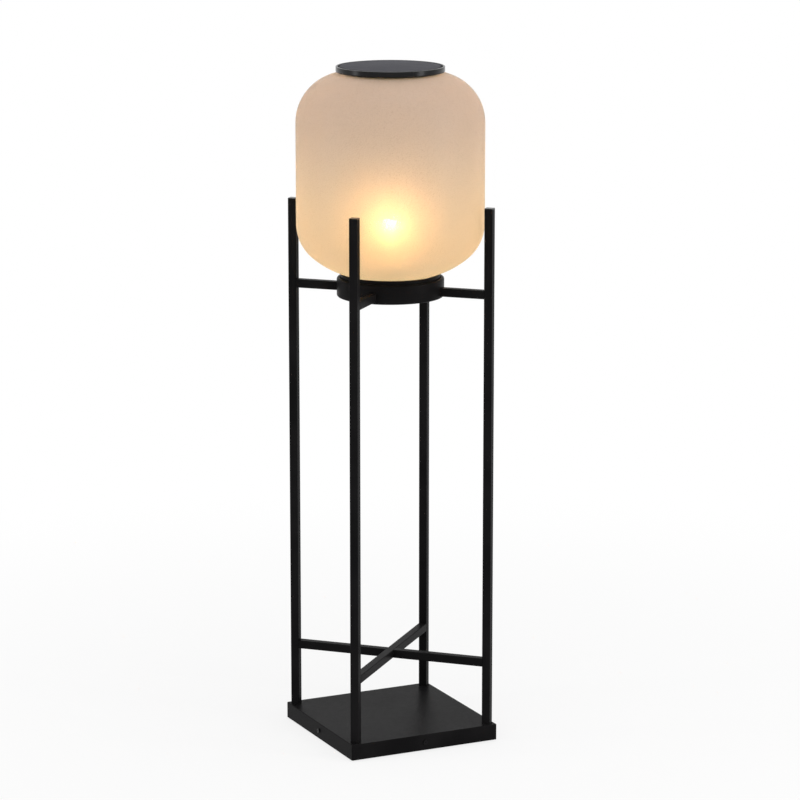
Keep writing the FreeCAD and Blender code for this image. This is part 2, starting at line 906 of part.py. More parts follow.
def make_glass():
    outer_nodes, outer_arcs = glass_side(as_length(0))
    inner_nodes, inner_arcs = glass_side(d.glass_wall)
    last_edge = len(outer_nodes) + len(inner_nodes) - 2
    arcs = dict(outer_arcs)
    for edge, arc in inner_arcs.items():
        arcs[last_edge - edge] = arc
    body = new_body("glass_shade")
    sketch = new_sketch(body, "XZ_Plane")
    draw_chain(sketch, outer_nodes + inner_nodes[::-1], arcs)
    turn(body, sketch)
    keep(place(body, (0, 0, neck_bottom)))


def make_gasket():
    inner = neck_radius - d.glass_wall
    outer = cup_inner - d.gasket_clearance
    around_neck = neck_radius + d.gasket_clearance
    top = d.gasket_base + d.neck_length - d.gasket_clearance
    section = [
        (inner, 0),
        (outer, 0),
        (outer, top),
        (around_neck, top),
        (around_neck, d.gasket_base),
        (inner, d.gasket_base),
    ]
    keep(turned("shade_gasket", section, (0, 0, deck_top)))


# Lamp holder and bulb on the middle of the deck.
def make_lamp():
    socket = d.cap_radius + d.cap_clearance
    section = [
        (0, 0),
        (d.holder_flange_radius, 0),
        (d.holder_flange_radius, d.holder_flange),
        (d.holder_radius, d.holder_flange),
        (d.holder_radius, d.holder_height),
        (socket, d.holder_height),
        (socket, d.holder_floor),
        (0, d.holder_floor),
    ]
    blank = turned("lamp_holder_blank", section, (0, 0, deck_top))
    lead_at = (d.lamp_lead_offset, 0, deck_top)
    lead_hole = cylinder("holder_lead_hole", lead_hole_radius, d.holder_floor, lead_at)
    screw_bore = tapper.radius + d.hole_clearance
    screw_holes = [
        cylinder(f"holder_screw_hole_{number}", screw_bore, d.holder_flange, (x, y, deck_top))
        for number, (x, y) in enumerate(holder_screw_spots)
    ]
    keep(cut("lamp_holder", blank, [lead_hole] + screw_holes))
    flange_top = deck_top + d.holder_flange
    holder_screw = cut_to(tapper, d.holder_flange + d.deck_thickness)
    screws = [
        screw(f"holder_screw_{number}", holder_screw, (x, y, flange_top), DOWN)
        for number, (x, y) in enumerate(holder_screw_spots)
    ]
    keep(group("lamp_holder_screws", screws))

    cap_bottom = deck_top + d.holder_floor
    body_bottom = deck_top + d.holder_height
    body_top = body_bottom + d.bulb_body_height
    keep(cylinder("bulb_cap", d.cap_radius, d.holder_height - d.holder_floor, (0, 0, cap_bottom)))
    cone = add("Part::Cone", "bulb_body")
    bind(cone, Radius1=d.bulb_neck_radius, Radius2=d.bulb_body_radius, Height=d.bulb_body_height)
    keep(place(cone, (0, 0, body_bottom)))
    at = (0, 0, body_top)
    keep(cylinder("led_board", d.led_board_radius, d.led_board_thickness, at))
    chips = []
    for number in range(LED_COUNT):
        x, y = around(d.led_ring_radius, 360 * number / LED_COUNT)
        chip_at = (x, y, body_top + d.led_board_thickness)
        chips.append(box(f"led_chip_{number}", d.led_side, d.led_side, d.led_height, chip_at))
    keep(group("led_chips", chips))
    keep(make_globe(at))


def make_globe(at):
    inside = d.globe_radius - d.globe_wall
    rise = square_root(d.globe_radius * d.globe_radius - d.bulb_body_radius * d.bulb_body_radius)
    inner_foot = square_root(inside * inside - rise * rise)
    middle = (as_length(0), rise)
    profile = [
        (d.bulb_body_radius, as_length(0)),
        (as_length(0), rise + d.globe_radius),
        (as_length(0), rise + inside),
        (inner_foot, as_length(0)),
    ]
    body = new_body("bulb_globe")
    sketch = new_sketch(body, "XZ_Plane")
    draw_chain(sketch, profile, {0: (middle, d.globe_radius), 2: (middle, inside)})
    turn(body, sketch)
    return place(body, at)


# Conduit that takes the panel's lead down through the shade, with its grommet in the deck and its socket
# under the lid.
def make_conduit():
    bottom = (*conduit_at, deck_bottom)
    length = spigot_bottom + d.conduit_grip - deck_bottom
    bore = d.conduit_radius - d.conduit_wall
    keep(turned_ring("cable_conduit", bore, d.conduit_radius, length, bottom))
    inner = d.conduit_radius + d.fit_clearance
    outer = d.conduit_radius + d.grommet_wall - d.fit_clearance
    flange = outer + d.grommet_flange
    top = d.deck_thickness + d.grommet_flange_height
    section = [
        (inner, 0),
        (outer, 0),
        (outer, d.deck_thickness),
        (flange, d.deck_thickness),
        (flange, top),
        (inner, top),
    ]
    keep(turned("conduit_grommet", section, bottom))
    socket = [
        (inner, 0),
        (socket_radius, 0),
        (socket_radius, d.spigot_depth),
        (lead_hole_radius, d.spigot_depth),
        (lead_hole_radius, d.conduit_grip),
        (inner, d.conduit_grip),
    ]
    keep(turned("conduit_socket", socket, (*conduit_at, spigot_bottom)))


# Solar lid: round housing with a recess for the panel, the spigot ring in the shade's mouth, and the gasket.
def make_lid():
    recess = lid_radius - d.lid_rim
    body = new_body("lid_housing")
    section = new_sketch(body, "XZ_Plane")
    outline = [
        (0, 0),
        (lid_radius, 0, d.lid_bottom_edge),
        (lid_radius, d.lid_height, d.lid_top_edge),
        (recess, d.lid_height),
        (recess, d.lid_height - recess_depth),
        (0, d.lid_height - recess_depth),
    ]
    draw_outline(section, outline)
    turn(body, section)
    wire_hole = new_sketch(body, "XY_Plane")
    draw_circle(wire_hole, lead_hole_radius, conduit_at)
    pocket(body, wire_hole)
    keep(place(body, (0, 0, lid_bottom)))
    spigot_at = (0, 0, spigot_bottom)
    keep(turned_ring("lid_spigot", spigot_inner, spigot_radius, d.spigot_depth, spigot_at))
    inner = d.mouth_radius + d.lid_gasket_margin
    outer = inner + d.lid_gasket_width
    keep(turned_ring("lid_gasket", inner, outer, d.lid_gasket_thickness, (0, 0, glass_top)))


def make_clip(name, angle):
    strip = d.clip_strip
    bent_top = d.spigot_depth - d.lid_gasket_thickness - d.glass_wall - d.clip_rim_gap
    bent_middle = bent_top - d.clip_rise
    bent_bottom = bent_middle - d.clip_rise
    tail = bent_bottom - d.clip_tail
    inside = spigot_radius
    outside = spigot_radius + strip
    outline = [
        (inside, d.spigot_depth),
        (inside, bent_top),
        (inside + d.clip_bulge, bent_middle),
        (inside, bent_bottom),
        (inside, tail),
        (outside, tail),
        (outside, bent_bottom),
        (outside + d.clip_bulge, bent_middle),
        (outside, bent_top),
        (outside, d.spigot_depth),
    ]
    body = new_body(name)
    sketch = new_sketch(body, "XZ_Plane")
    draw_outline(sketch, outline)
    strip_pad = pad(body, sketch, d.clip_width)
    strip_pad.Midplane = True
    return place(body, (0, 0, spigot_bottom), FreeCAD.Rotation(FreeCAD.Vector(0, 0, 1), angle))


def make_clips():
    blanks = [make_clip(f"lid_clip_blank_{angle}", angle) for angle in CLIP_ANGLES]
    core_radius = spigot_radius + d.fit_clearance
    clips = []
    for angle, blank in zip(CLIP_ANGLES, blanks):
        core = cylinder(f"lid_clip_core_{angle}", core_radius, d.spigot_depth, (0, 0, spigot_bottom))
        clips.append(cut(f"lid_clip_{angle}", blank, [core]))
    keep(group("lid_clips", clips))


def make_panel():
    backing = cylinder("panel_backing_blank", panel_radius, d.backing_thickness, (0, 0, recess_bottom))
    wire_hole = cylinder("backing_hole", lead_hole_radius, d.backing_thickness, (*conduit_at, recess_bottom))
    keep(cut("panel_backing", backing, [wire_hole]))
    cell_level = recess_bottom + d.backing_thickness
    field = panel_radius - d.cell_margin
    pitch = 2 * field / CELL_STRIPS
    strips = []
    for number in range(CELL_STRIPS):
        y = pitch * (number - (CELL_STRIPS - 1) / 2)
        strip_at = (as_length(0), y, cell_level)
        strip = box(f"cell_strip_{number}", 2 * field, pitch - d.cell_gap, d.cell_thickness, strip_at)
        round_field = cylinder(f"cell_field_{number}", field, d.cell_thickness, (0, 0, cell_level))
        cell = add("Part::Common", f"solar_cell_{number}")
        cell.Base = strip
        cell.Tool = round_field
        strips.append(cell)
    keep(group("solar_cells", strips))
    cover_level = cell_level + d.cell_thickness
    keep(cylinder("panel_cover", panel_radius, d.panel_cover_thickness, (0, 0, cover_level)))


# Battery, controller and leads in the chamber under the deck.
def make_battery():
    inner_length = d.cell_body_length + d.cell_nub_length + 2 * d.cell_play
    inner_width = BATTERY_CELLS * d.cell_pitch + d.cell_play
    length = inner_length + 2 * d.tray_wall
    width = inner_width + 2 * d.tray_wall
    middle = (as_length(0), -d.tray_offset)
    outer = box("tray_blank", length, width, d.tray_height, (*middle, cover_top))
    room = box("tray_room", inner_length, inner_width, d.tray_height, (*middle, cover_top + d.tray_floor))
    keep(cut("battery_tray", outer, [room]))
    start = -inner_length / 2 + d.cell_play
    level = cover_top + d.tray_floor + d.cell_body_radius
    cells = []
    for number in range(BATTERY_CELLS):
        y = middle[1] + d.cell_pitch * (number - (BATTERY_CELLS - 1) / 2)
        along = (1, 0, 0)
        can_at = (start, y, level)
        can = cylinder(f"cell_can_{number}", d.cell_body_radius, d.cell_body_length, can_at, along)
        nub_at = (start + d.cell_body_length, y, level)
        nub = cylinder(f"cell_nub_{number}", d.cell_nub_radius, d.cell_nub_length, nub_at, along)
        cells.append(fused(f"battery_cell_{number}", [can, nub]))
    keep(group("battery_cells", cells))
    return length / 2


def make_controller():
    middle = (as_length(0), d.board_offset)
    blank = box("board_blank", d.board_length, d.board_width, d.board_thickness, (*middle, board_bottom))
    bore = tapper.radius + d.hole_clearance
    holes = [
        cylinder(f"board_hole_{number}", bore, d.board_thickness, (x, y, board_bottom))
        for number, (x, y) in enumerate(board_posts)
    ]
    keep(cut("controller_board", blank, holes))
    board_screw = cut_to(tapper, d.board_thickness + d.board_standoff)
    screws = [
        screw(f"board_screw_{number}", board_screw, (x, y, board_top), DOWN)
        for number, (x, y) in enumerate(board_posts)
    ]
    keep(group("board_screws", screws))
    block_at = (*conduit_at, board_top)
    keep(box("terminal_block", d.block_length, d.block_width, d.block_height, block_at))
    chip_y = d.board_offset - d.board_width / 2 + d.chip_inset
    chips = [
        box(f"chip_{number}", d.chip_length, d.chip_width, d.chip_height, (x, chip_y, board_top))
        for number, x in enumerate((-d.chip_shift, as_length(0)))
    ]
    capacitor_at = (d.capacitor_shift, chip_y, board_top)
    chips.append(cylinder("capacitor", d.capacitor_radius, d.capacitor_height, capacitor_at))
    keep(group("controller_chips", chips))


# A round lead along straight runs, with each corner rounded to the same bend.
def lead(name, route, bend):
    points = [vector(point) for point in route]
    edges = []
    start = points[0]
    for before, corner, after in zip(points, points[1:], points[2:]):
        entry = corner + (before - corner).normalize() * bend.number
        leave = corner + (after - corner).normalize() * bend.number
        middle = entry + (leave - corner)
        bulge = middle + (corner - middle).normalize() * bend.number
        edges.append(Part.LineSegment(start, entry).toShape())
        edges.append(Part.Arc(entry, bulge, leave).toShape())
        start = leave
    edges.append(Part.LineSegment(start, points[-1]).toShape())
    path = Part.Wire(edges)
    section = Part.Wire(Part.makeCircle(d.lead_radius.number, points[0], points[1] - points[0]))
    item = add("Part::Feature", name)
    item.Shape = path.makePipeShell([section], True, False)
    return item


def make_leads(tray_end):
    block_end = d.block_length / 2
    block_front = conduit_offset - d.block_width / 2
    block_top = board_top + d.block_height
    solar_length = recess_bottom + d.backing_thickness - block_top
    keep(cylinder("solar_lead", d.lead_radius, solar_length, (*conduit_at, block_top)))
    run_out = tray_end + d.lead_reach
    side_bend = LEAD_BEND_SHARE * d.lead_reach
    battery_route = [
        (tray_end, -d.tray_offset, lead_level),
        (run_out, -d.tray_offset, lead_level),
        (run_out, conduit_offset, lead_level),
        (block_end, conduit_offset, lead_level),
    ]
    keep(lead("battery_lead", battery_route, side_bend))
    lamp_x = d.lamp_lead_offset
    lamp_route = [
        (lamp_x, block_front, lead_level),
        (lamp_x, 0, lead_level),
        (lamp_x, 0, deck_top + d.holder_floor),
    ]
    keep(lead("lamp_lead", lamp_route, deck_bottom - lead_level))
    switch_route = [
        (-d.switch_barrel_radius, d.switch_offset, lead_level),
        (-run_out, d.switch_offset, lead_level),
        (-run_out, conduit_offset, lead_level),
        (-block_end, conduit_offset, lead_level),
    ]
    keep(lead("switch_lead", switch_route, side_bend))


# Push switch through the bottom cover, with its button pointing down.
def make_switch():
    bore = d.button_radius + d.button_clearance
    top = d.switch_bezel_height + d.switch_barrel_height
    bezel_bottom = cup_bottom - d.switch_bezel_height
    section = [
        (bore, 0),
        (d.switch_bezel_radius, 0),
        (d.switch_bezel_radius, d.switch_bezel_height),
        (d.switch_barrel_radius, d.switch_bezel_height),
        (d.switch_barrel_radius, top),
        (0, top),
        (0, d.switch_bore_depth),
        (bore, d.switch_bore_depth),
    ]
    keep(turned("switch_body", section, (*switch_at, bezel_bottom)))
    blank = hexagon("switch_nut_blank", d.switch_nut_radius, d.switch_nut_height, (*switch_at, cover_top))
    thread = d.switch_barrel_radius + d.thread_clearance
    hole = cylinder("switch_nut_hole", thread, d.switch_nut_height, (*switch_at, cover_top))
    keep(cut("switch_nut", blank, [hole]))
    button = [
        (0, 0),
        (d.button_radius, 0, d.button_edge),
        (d.button_radius, d.button_length),
        (0, d.button_length),
    ]
    keep(turned("switch_button", button, (*switch_at, bezel_bottom - d.button_proud)))


make_base()
make_legs()
make_braces()
make_arms()
make_holder()
make_cup()
make_cover()
make_reflector()
make_gasket()
make_glass()
make_lamp()
make_conduit()
make_lid()
make_clips()
make_panel()
battery_end = make_battery()
make_controller()
make_leads(battery_end)
make_switch()
doc.recompute()

failed = [item.Label for item in doc.Objects if {"Invalid", "Error"} & set(item.State)]
if failed:
    raise RuntimeError(f"these objects failed: {failed}")
for node in nodes:
    if node.Shape.isNull() or not node.Shape.isValid():
        raise RuntimeError(f"{node.Label} has no valid shape")

os.makedirs("parts", exist_ok=True)
for node in nodes:
    node.Shape.exportStep(f"parts/{node.Label}.step")
    print(f"{node.Label}: {len(node.Shape.Solids)} solids, {node.Shape.Volume / 1000:.2f} cm3")
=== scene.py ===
import json
import math

import bmesh
import bpy
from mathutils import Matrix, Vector


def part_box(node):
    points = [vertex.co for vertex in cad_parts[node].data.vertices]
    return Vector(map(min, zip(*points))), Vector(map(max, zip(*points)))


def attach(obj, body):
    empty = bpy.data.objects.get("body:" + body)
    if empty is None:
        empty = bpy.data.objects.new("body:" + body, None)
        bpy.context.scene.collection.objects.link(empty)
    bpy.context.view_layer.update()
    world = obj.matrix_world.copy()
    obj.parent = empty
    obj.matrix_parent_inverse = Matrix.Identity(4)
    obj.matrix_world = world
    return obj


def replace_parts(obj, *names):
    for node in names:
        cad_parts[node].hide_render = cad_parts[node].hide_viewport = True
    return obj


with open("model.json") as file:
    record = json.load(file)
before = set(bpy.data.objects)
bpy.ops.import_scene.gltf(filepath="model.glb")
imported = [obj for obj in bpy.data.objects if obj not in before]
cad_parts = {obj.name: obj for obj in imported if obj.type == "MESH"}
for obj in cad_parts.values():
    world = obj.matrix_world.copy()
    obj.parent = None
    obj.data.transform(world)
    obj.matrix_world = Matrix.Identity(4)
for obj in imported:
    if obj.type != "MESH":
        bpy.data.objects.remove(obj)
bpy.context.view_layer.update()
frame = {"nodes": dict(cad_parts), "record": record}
cadNodes = frame["nodes"]
nodeSlots = {row["node"]: row["material_slot"] for row in frame["record"]["subparts"]}
scene = bpy.context.scene
scene.view_settings.view_transform = "Standard"
print("frame loaded:", len(cadNodes), "CAD nodes")


class Wire:  # a shader socket that can be used in sums
    def __init__(self, look, socket):
        self.look = look
        self.socket = socket

    def sum(self, operation, first, second):
        return self.look.node("ShaderNodeMath", {"operation": operation}, {0: first, 1: second})

    def __add__(self, other):
        return self.sum("ADD", self, other)

    def __radd__(self, other):
        return self.sum("ADD", other, self)

    def __sub__(self, other):
        return self.sum("SUBTRACT", self, other)

    def __rsub__(self, other):
        return self.sum("SUBTRACT", other, self)

    def __mul__(self, other):
        return self.sum("MULTIPLY", self, other)

    def __rmul__(self, other):
        return self.sum("MULTIPLY", other, self)

    def __rtruediv__(self, other):
        return self.sum("DIVIDE", other, self)

    def __pow__(self, other):
        return self.sum("POWER", self, other)

    def __abs__(self):
        return self.sum("ABSOLUTE", self, 0.0)

    def __mod__(self, other):
        return self.sum("FLOORED_MODULO", self, other)

    def sway(self, spread):  # a noise about its own middle
        return (self - 0.5) * spread


class Look:  # the nodes of one material, or of the world
    def __init__(self, owner):
        owner.use_nodes = True
        self.owner = owner
        self.tree = owner.node_tree
        self.tree.nodes.clear()

    def node(self, kind, settings=None, sockets=None, output=0):
        made = self.tree.nodes.new(kind)
        for key, value in (settings or {}).items():
            setattr(made, key, value)
        for key, value in (sockets or {}).items():
            if isinstance(value, Wire):
                self.tree.links.new(value.socket, made.inputs[key])
            else:
                made.inputs[key].default_value = value
        return Wire(self, made.outputs[output]) if made.outputs else made

    def noise(self, scale, detail, spot=None):
        sockets = {"Vector": spot or self.spot, "Scale": scale, "Detail": detail}
        return self.node("ShaderNodeTexNoise", None, sockets)

    def stretched(self, scale):  # coordinates scaled by axis, for brushed and drawn grain
        return self.node("ShaderNodeMapping", None, {"Vector": self.spot, "Scale": scale})

    def tilted(self, turns):  # coordinates turned, so that no layer of a noise lies along a wall
        return self.node("ShaderNodeMapping", None, {"Vector": self.spot, "Rotation": turns})

    def axes(self):
        split = self.node("ShaderNodeSeparateXYZ", None, {0: self.spot})
        return [Wire(self, output) for output in split.socket.node.outputs]

    def step(self, value, low, high):
        sockets = {"Value": value, "From Min": low, "From Max": high}
        return self.node("ShaderNodeMapRange", {"interpolation_type": "SMOOTHSTEP"}, sockets)

    def mix(self, factor, *colours):  # inputs 6 and 7 and output 2 are the node's colours
        first, second = [item if isinstance(item, Wire) else (*item, 1.0) for item in colours]
        sockets = {0: factor, 6: first, 7: second}
        return self.node("ShaderNodeMix", {"data_type": "RGBA"}, sockets, 2)

    def vector(self, operation, first, second):  # vector sums that give one number
        sockets = {0: first, 1: second}
        return self.node("ShaderNodeVectorMath", {"operation": operation}, sockets, "Value")

    def edges(self, radius):  # 0 on flat faces, rising on edges
        soft = self.node("ShaderNodeBevel", {"samples": 4}, {"Radius": radius})
        flat = self.node("ShaderNodeNewGeometry", output="Normal")
        return 1 - self.vector("DOT_PRODUCT", soft, flat)

    def bump(self, height, strength, distance):
        sockets = {"Height": height, "Strength": strength, "Distance": distance}
        return self.node("ShaderNodeBump", None, sockets)

    def shown(self):  # 1 for what the camera sees, straight or in gloss and glass
        rays = self.node("ShaderNodeLightPath").socket.node.outputs
        names = ("Is Camera Ray", "Is Glossy Ray", "Is Transmission Ray")
        camera, glossy, through = [Wire(self, rays[name]) for name in names]
        return self.step(camera + glossy + through, 0.0, 1.0)

    def surface(self, sockets):
        shader = self.node("ShaderNodeBsdfPrincipled", None, sockets)
        self.node("ShaderNodeOutputMaterial", None, {"Surface": shader})
        return self.owner


def newLook(name):
    look = Look(bpy.data.materials.new(name))
    look.spot = look.node("ShaderNodeTexCoord", output="Object")
    return look


powderCoat = {
    "broad": (14.0, 4.0),  # a noise's scale and detail, here and below
    "patch": (126.0, 3.0),
    "grain": (1100.0, 2.0),
    "dark": (0.0069, 0.0066, 0.007),
    "light": (0.0115, 0.011, 0.0115),
    "broadShare": 0.7,
    "grainShare": 0.3,
    "toneEdge": (0.35, 0.65),  # where a step starts and ends
    "worn": (0.04, 0.038, 0.037),
    "wornShare": 0.45,
    "wornEdge": (0.12, 0.4),
    "wornGloss": 0.1,
    "edgeRadius": 0.0009,
    "edgeKeep": 0.35,
    "roughness": 0.36,
    "broadSpread": 0.16,
    "patchSpread": 0.1,
    "specular": 0.018,
    "patchHeight": 0.4,
    "bump": (0.22, 0.0004),  # strength and depth
}
castPaint = dict(
    powderCoat, broad=(30.0, 4.0), patch=(270.0, 3.0), grain=(700.0, 2.0), roughness=0.3
)


def makePowderCoat(name, s):
    look = newLook(name)
    broad = look.noise(*s["broad"])
    patch = look.noise(*s["patch"])
    grain = look.noise(*s["grain"])
    wear = look.step(look.edges(s["edgeRadius"]) * (s["edgeKeep"] + patch), *s["wornEdge"])
    tone = look.step(broad * s["broadShare"] + grain * s["grainShare"], *s["toneEdge"])
    rough = s["roughness"] + broad.sway(s["broadSpread"]) + patch.sway(s["patchSpread"])
    paint = look.mix(tone, s["dark"], s["light"])
    return look.surface({
        "Base Color": look.mix(wear * s["wornShare"], paint, s["worn"]),
        "Roughness": rough - wear * s["wornGloss"],
        "Specular IOR Level": s["specular"],
        "Normal": look.bump(grain + patch * s["patchHeight"], *s["bump"]),
    })


bareMetal = {
    "brush": (220.0, 3.0),
    "brushStretch": (1.0, 9.0, 1.0),
    "brushShare": 0.25,
    "brushSpread": 0.2,
    "stain": (70.0, 5.0),
    "stainEdge": (0.45, 0.7),
    "stainShare": 0.7,
    "stainSpread": 0.12,
    "bump": (0.12, 0.0003),
}
zincPlate = dict(
    bareMetal, clean=(0.62, 0.62, 0.6), dull=(0.4, 0.41, 0.41), roughness=0.32
)
springStrip = dict(
    bareMetal, clean=(0.55, 0.55, 0.55), dull=(0.38, 0.37, 0.36), roughness=0.26
)
nickelCap = dict(
    bareMetal, clean=(0.7, 0.68, 0.64), dull=(0.5, 0.47, 0.42), roughness=0.22
)
blackOxide = dict(
    bareMetal, clean=(0.012, 0.012, 0.013), dull=(0.03, 0.027, 0.026), roughness=0.38
)
ballastIron = dict(
    bareMetal, clean=(0.06, 0.06, 0.062), dull=(0.1, 0.085, 0.075), roughness=0.62
)


def makeBareMetal(name, s):
    look = newLook(name)
    brush = look.noise(*s["brush"], look.stretched(s["brushStretch"]))
    stain = look.step(look.noise(*s["stain"]), *s["stainEdge"])
    dulled = stain * s["stainShare"] + brush * s["brushShare"]
    return look.surface({
        "Base Color": look.mix(dulled, s["clean"], s["dull"]),
        "Roughness": s["roughness"] + brush.sway(s["brushSpread"]) + stain * s["stainSpread"],
        "Metallic": 1.0,
        "Normal": look.bump(brush, *s["bump"]),
    })


moulding = {
    "flow": (38.0, 4.0),
    "flowShare": 0.75,
    "flowSpread": 0.14,
    "grain": (1500.0, 2.0),
    "grainShare": 0.25,
    "toneEdge": (0.3, 0.7),
    "edgeRadius": 0.0006,
    "rubbedEdge": (0.05, 0.4),
    "rubbedGain": 1.6,
    "rubbedShare": 0.3,
    "rubbedGloss": 0.08,
    "specular": 0.4,
    "bump": (0.15, 0.0003),
}
blackMoulding = dict(
    moulding, dark=(0.0035, 0.0035, 0.0038), light=(0.006, 0.006, 0.0063), roughness=0.2,
    specular=0.17
)
whiteMoulding = dict(
    moulding, dark=(0.78, 0.76, 0.72), light=(0.87, 0.86, 0.83), roughness=0.36
)
terminalMoulding = dict(
    moulding, dark=(0.035, 0.16, 0.075), light=(0.055, 0.22, 0.11), roughness=0.3
)
chipMoulding = dict(
    moulding, dark=(0.022, 0.022, 0.022), light=(0.04, 0.04, 0.04), roughness=0.5
)
wireInsulation = dict(
    moulding, dark=(0.4, 0.03, 0.022), light=(0.54, 0.05, 0.036), roughness=0.45
)
blackRubber = dict(
    moulding, dark=(0.012, 0.012, 0.012), light=(0.026, 0.026, 0.026), roughness=0.72
)
buttonRubber = dict(
    moulding, dark=(0.028, 0.028, 0.03), light=(0.046, 0.046, 0.048), roughness=0.55
)


def makeMoulding(name, s):
    look = newLook(name)
    flow = look.noise(*s["flow"])
    grain = look.noise(*s["grain"])
    rubbed = look.step(look.edges(s["edgeRadius"]), *s["rubbedEdge"])
    tone = look.step(flow * s["flowShare"] + grain * s["grainShare"], *s["toneEdge"])
    plastic = look.mix(tone, s["dark"], s["light"])
    paler = [min(1.0, part * s["rubbedGain"]) for part in s["light"]]
    rough = s["roughness"] + flow.sway(s["flowSpread"])
    return look.surface({
        "Base Color": look.mix(rubbed * s["rubbedShare"], plastic, paler),
        "Roughness": rough - rubbed * s["rubbedGloss"],
        "Specular IOR Level": s["specular"],
        "Normal": look.bump(grain, *s["bump"]),
    })


batteryWrap = {
    "sleeve": (0.045, 0.15, 0.38),
    "band": (0.6, 0.6, 0.58),
    "bandEvery": 0.05,
    "bandEdge": (0.041, 0.0415),
    "crease": (160.0, 3.0),
    "creaseStretch": (0.3, 1.0, 1.0),
    "roughness": 0.22,
    "creaseSpread": 0.2,
    "bump": (0.2, 0.0003),
}


def makeBatteryWrap(name, s):
    look = newLook(name)
    every = s["bandEvery"]
    along = look.axes()[0]
    crease = look.noise(*s["crease"], look.stretched(s["creaseStretch"]))
    band = look.step((along + every / 2) % every, *s["bandEdge"])
    return look.surface({
        "Base Color": look.mix(band, s["sleeve"], s["band"]),
        "Roughness": s["roughness"] + crease * s["creaseSpread"],
        "Normal": look.bump(crease, *s["bump"]),
    })


circuitBoard = {
    "layout": {"offset": 0.37, "squash": 1.6},
    "traces": {"Scale": 220.0, "Mortar Size": 0.12, "Bias": -0.2},
    "traceShare": 0.8,
    "traceSpread": 0.08,
    "weave": (900.0, 2.0),
    "weaveShare": 0.1,
    "weaveSpread": 0.15,
    "roughness": 0.3,
    "bump": (0.3, 0.0001),
}
whiteBoard = dict(circuitBoard, mask=(0.8, 0.8, 0.77), trace=(0.7, 0.7, 0.66))
greenBoard = dict(circuitBoard, mask=(0.022, 0.16, 0.06), trace=(0.045, 0.26, 0.1))


def makeCircuitBoard(name, s):
    look = newLook(name)
    sockets = dict(s["traces"], Vector=look.spot)
    trace = look.node("ShaderNodeTexBrick", s["layout"], sockets, "Fac")
    weave = look.noise(*s["weave"])
    pattern = trace * s["traceShare"] + weave * s["weaveShare"]
    return look.surface({
        "Base Color": look.mix(pattern, s["mask"], s["trace"]),
        "Roughness": s["roughness"] + weave * s["weaveSpread"] + trace * s["traceSpread"],
        "Normal": look.bump(trace, *s["bump"]),
    })


siliconCell = {
    "dark": (0.012, 0.014, 0.022),
    "light": (0.03, 0.034, 0.05),
    "crystalScale": 130.0,
    "finger": (0.32, 0.33, 0.34),
    "fingerShare": 0.7,
    "fingerPitch": 0.0023,
    "fingerEdge": (0.00011, 0.00022),
    "roughness": 0.26,
    "facetSpread": 0.14,
    "bump": (0.25, 0.0001),
}


def makeSiliconCell(name, s):
    look = newLook(name)
    pitch = s["fingerPitch"]
    along = look.axes()[0]
    sockets = {"Vector": look.spot, "Scale": s["crystalScale"]}
    crystal = look.node("ShaderNodeTexVoronoi", None, sockets, "Color")
    facet = look.node("ShaderNodeSeparateColor", None, {0: crystal})
    finger = 1 - look.step(abs(along % pitch - pitch / 2), *s["fingerEdge"])
    silicon = look.mix(facet, s["dark"], s["light"])
    return look.surface({
        "Base Color": look.mix(finger * s["fingerShare"], silicon, s["finger"]),
        "Roughness": s["roughness"] + facet * s["facetSpread"],
        "Normal": look.bump(finger, *s["bump"]),
    })


panelLaminate = {
    "cloud": (34.0, 5.0),
    "cloudShare": 0.45,
    "cloudSpread": 0.14,
    "streak": (26.0, 4.0),
    "streakStretch": (1.0, 7.0, 1.0),
    "streakShare": 0.55,
    "streakSpread": 0.12,
    "grain": (1300.0, 2.0),
    "dark": (0.055, 0.055, 0.064),
    "light": (0.077, 0.077, 0.087),
    "toneEdge": (0.36, 0.66),
    "field": 0.0742,
    "strips": 8,
    "gap": (0.027, 0.027, 0.03),
    "gapEdge": (0.00048, 0.0009),
    "border": (0.016, 0.016, 0.018),
    "borderEdge": (0.074, 0.0745),
    "finger": (0.13, 0.13, 0.135),
    "fingerShare": 0.28,
    "fingerPitch": 0.0046,
    "fingerEdge": (0.00012, 0.0004),
    "fingerHeight": 0.5,
    "roughness": 0.6,
    "specular": 0.018,
    "bump": (0.12, 0.0002),
}


def makePanelLaminate(name, s):
    look = newLook(name)
    x, y, _ = look.axes()
    strip = 2 * s["field"] / s["strips"]
    pitch = s["fingerPitch"]
    cloud = look.noise(*s["cloud"])
    streak = look.noise(*s["streak"], look.stretched(s["streakStretch"]))
    grain = look.noise(*s["grain"])
    fromGap = abs((y + strip / 2) % strip - strip / 2)
    gap = 1 - look.step(fromGap, *s["gapEdge"])
    finger = 1 - look.step(abs(x % pitch - pitch / 2), *s["fingerEdge"])
    border = look.step((x * x + y * y) ** 0.5, *s["borderEdge"])
    tone = look.step(cloud * s["cloudShare"] + streak * s["streakShare"], *s["toneEdge"])
    cell = look.mix(tone, s["dark"], s["light"])
    lined = look.mix(finger * s["fingerShare"], cell, s["finger"])
    rough = s["roughness"] + cloud.sway(s["cloudSpread"]) + streak.sway(s["streakSpread"])
    return look.surface({
        "Base Color": look.mix(border, look.mix(gap, lined, s["gap"]), s["border"]),
        "Roughness": rough,
        "Specular IOR Level": s["specular"],
        "Normal": look.bump(grain + finger * s["fingerHeight"], *s["bump"]),
    })


